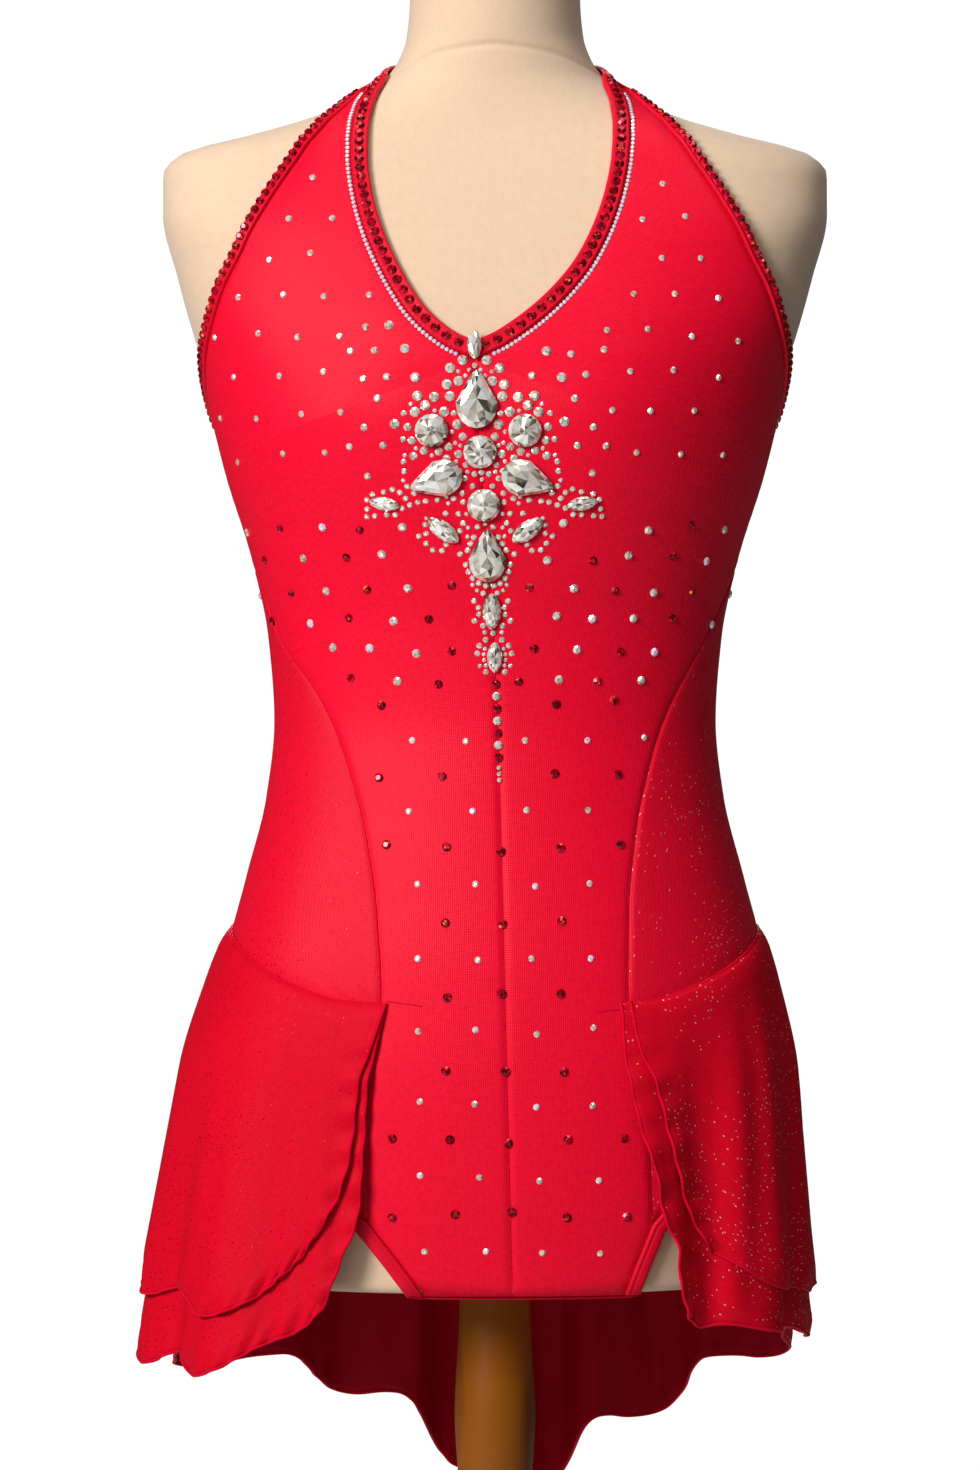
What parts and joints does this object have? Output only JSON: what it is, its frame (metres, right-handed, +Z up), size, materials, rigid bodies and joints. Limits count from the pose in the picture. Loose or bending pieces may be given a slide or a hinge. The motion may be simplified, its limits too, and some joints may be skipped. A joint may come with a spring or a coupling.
{
  "type": "skirted leotard on dress form",
  "caption": "Halter leotard with an open back and a two-layer open-fronted skirt, worn by a limbless dress form on a turned stand.",
  "frame": {"origin": "on the floor at the centre of the underside of the stand's round base", "axes": "+Z up along the pole, -Y towards the garment's front, +X towards the right of someone who faces the front"},
  "size_m": [0.376, 0.376, 1.342],
  "materials": {
    "red_stretch": "satin stretch knit",
    "red_glitter": "stretch knit with fine foil dots",
    "red_binding": "folded satin binding",
    "cream_jersey": "stretched cotton jersey",
    "crystal": "cut and foiled back",
    "turned_wood": "clear varnish"
  },
  "bodies": {
    "root": {"dress_form": "cream_jersey", "stand_pole": "turned_wood", "stand_base": "turned_wood", "front_left": "red_stretch", "front_right": "red_stretch", "side_left": "red_glitter", "side_right": "red_glitter", "back": "red_stretch", "gusset": "red_stretch", "binding_neckline": "red_binding", "binding_armhole_left": "red_binding", "binding_armhole_right": "red_binding", "binding_leg_left": "red_binding", "binding_leg_right": "red_binding", "neckband": "red_binding", "skirt_under": "red_glitter", "skirt_upper": "red_glitter", "stone_top": "crystal", "stone_drop_upper": "crystal", "stone_disc_wing_left": "crystal", "stone_disc_wing_right": "crystal", "stone_disc_upper": "crystal", "stone_drop_wing_left": "crystal", "stone_drop_wing_right": "crystal", "stone_disc_lower": "crystal", "stone_leaf_outer_left": "crystal", "stone_leaf_outer_right": "crystal", "stone_leaf_inner_left": "crystal", "stone_leaf_inner_right": "crystal", "stone_drop_lower": "crystal", "stone_leaf_upper": "crystal", "stone_leaf_lower": "crystal"}
  },
  "joints": []
}
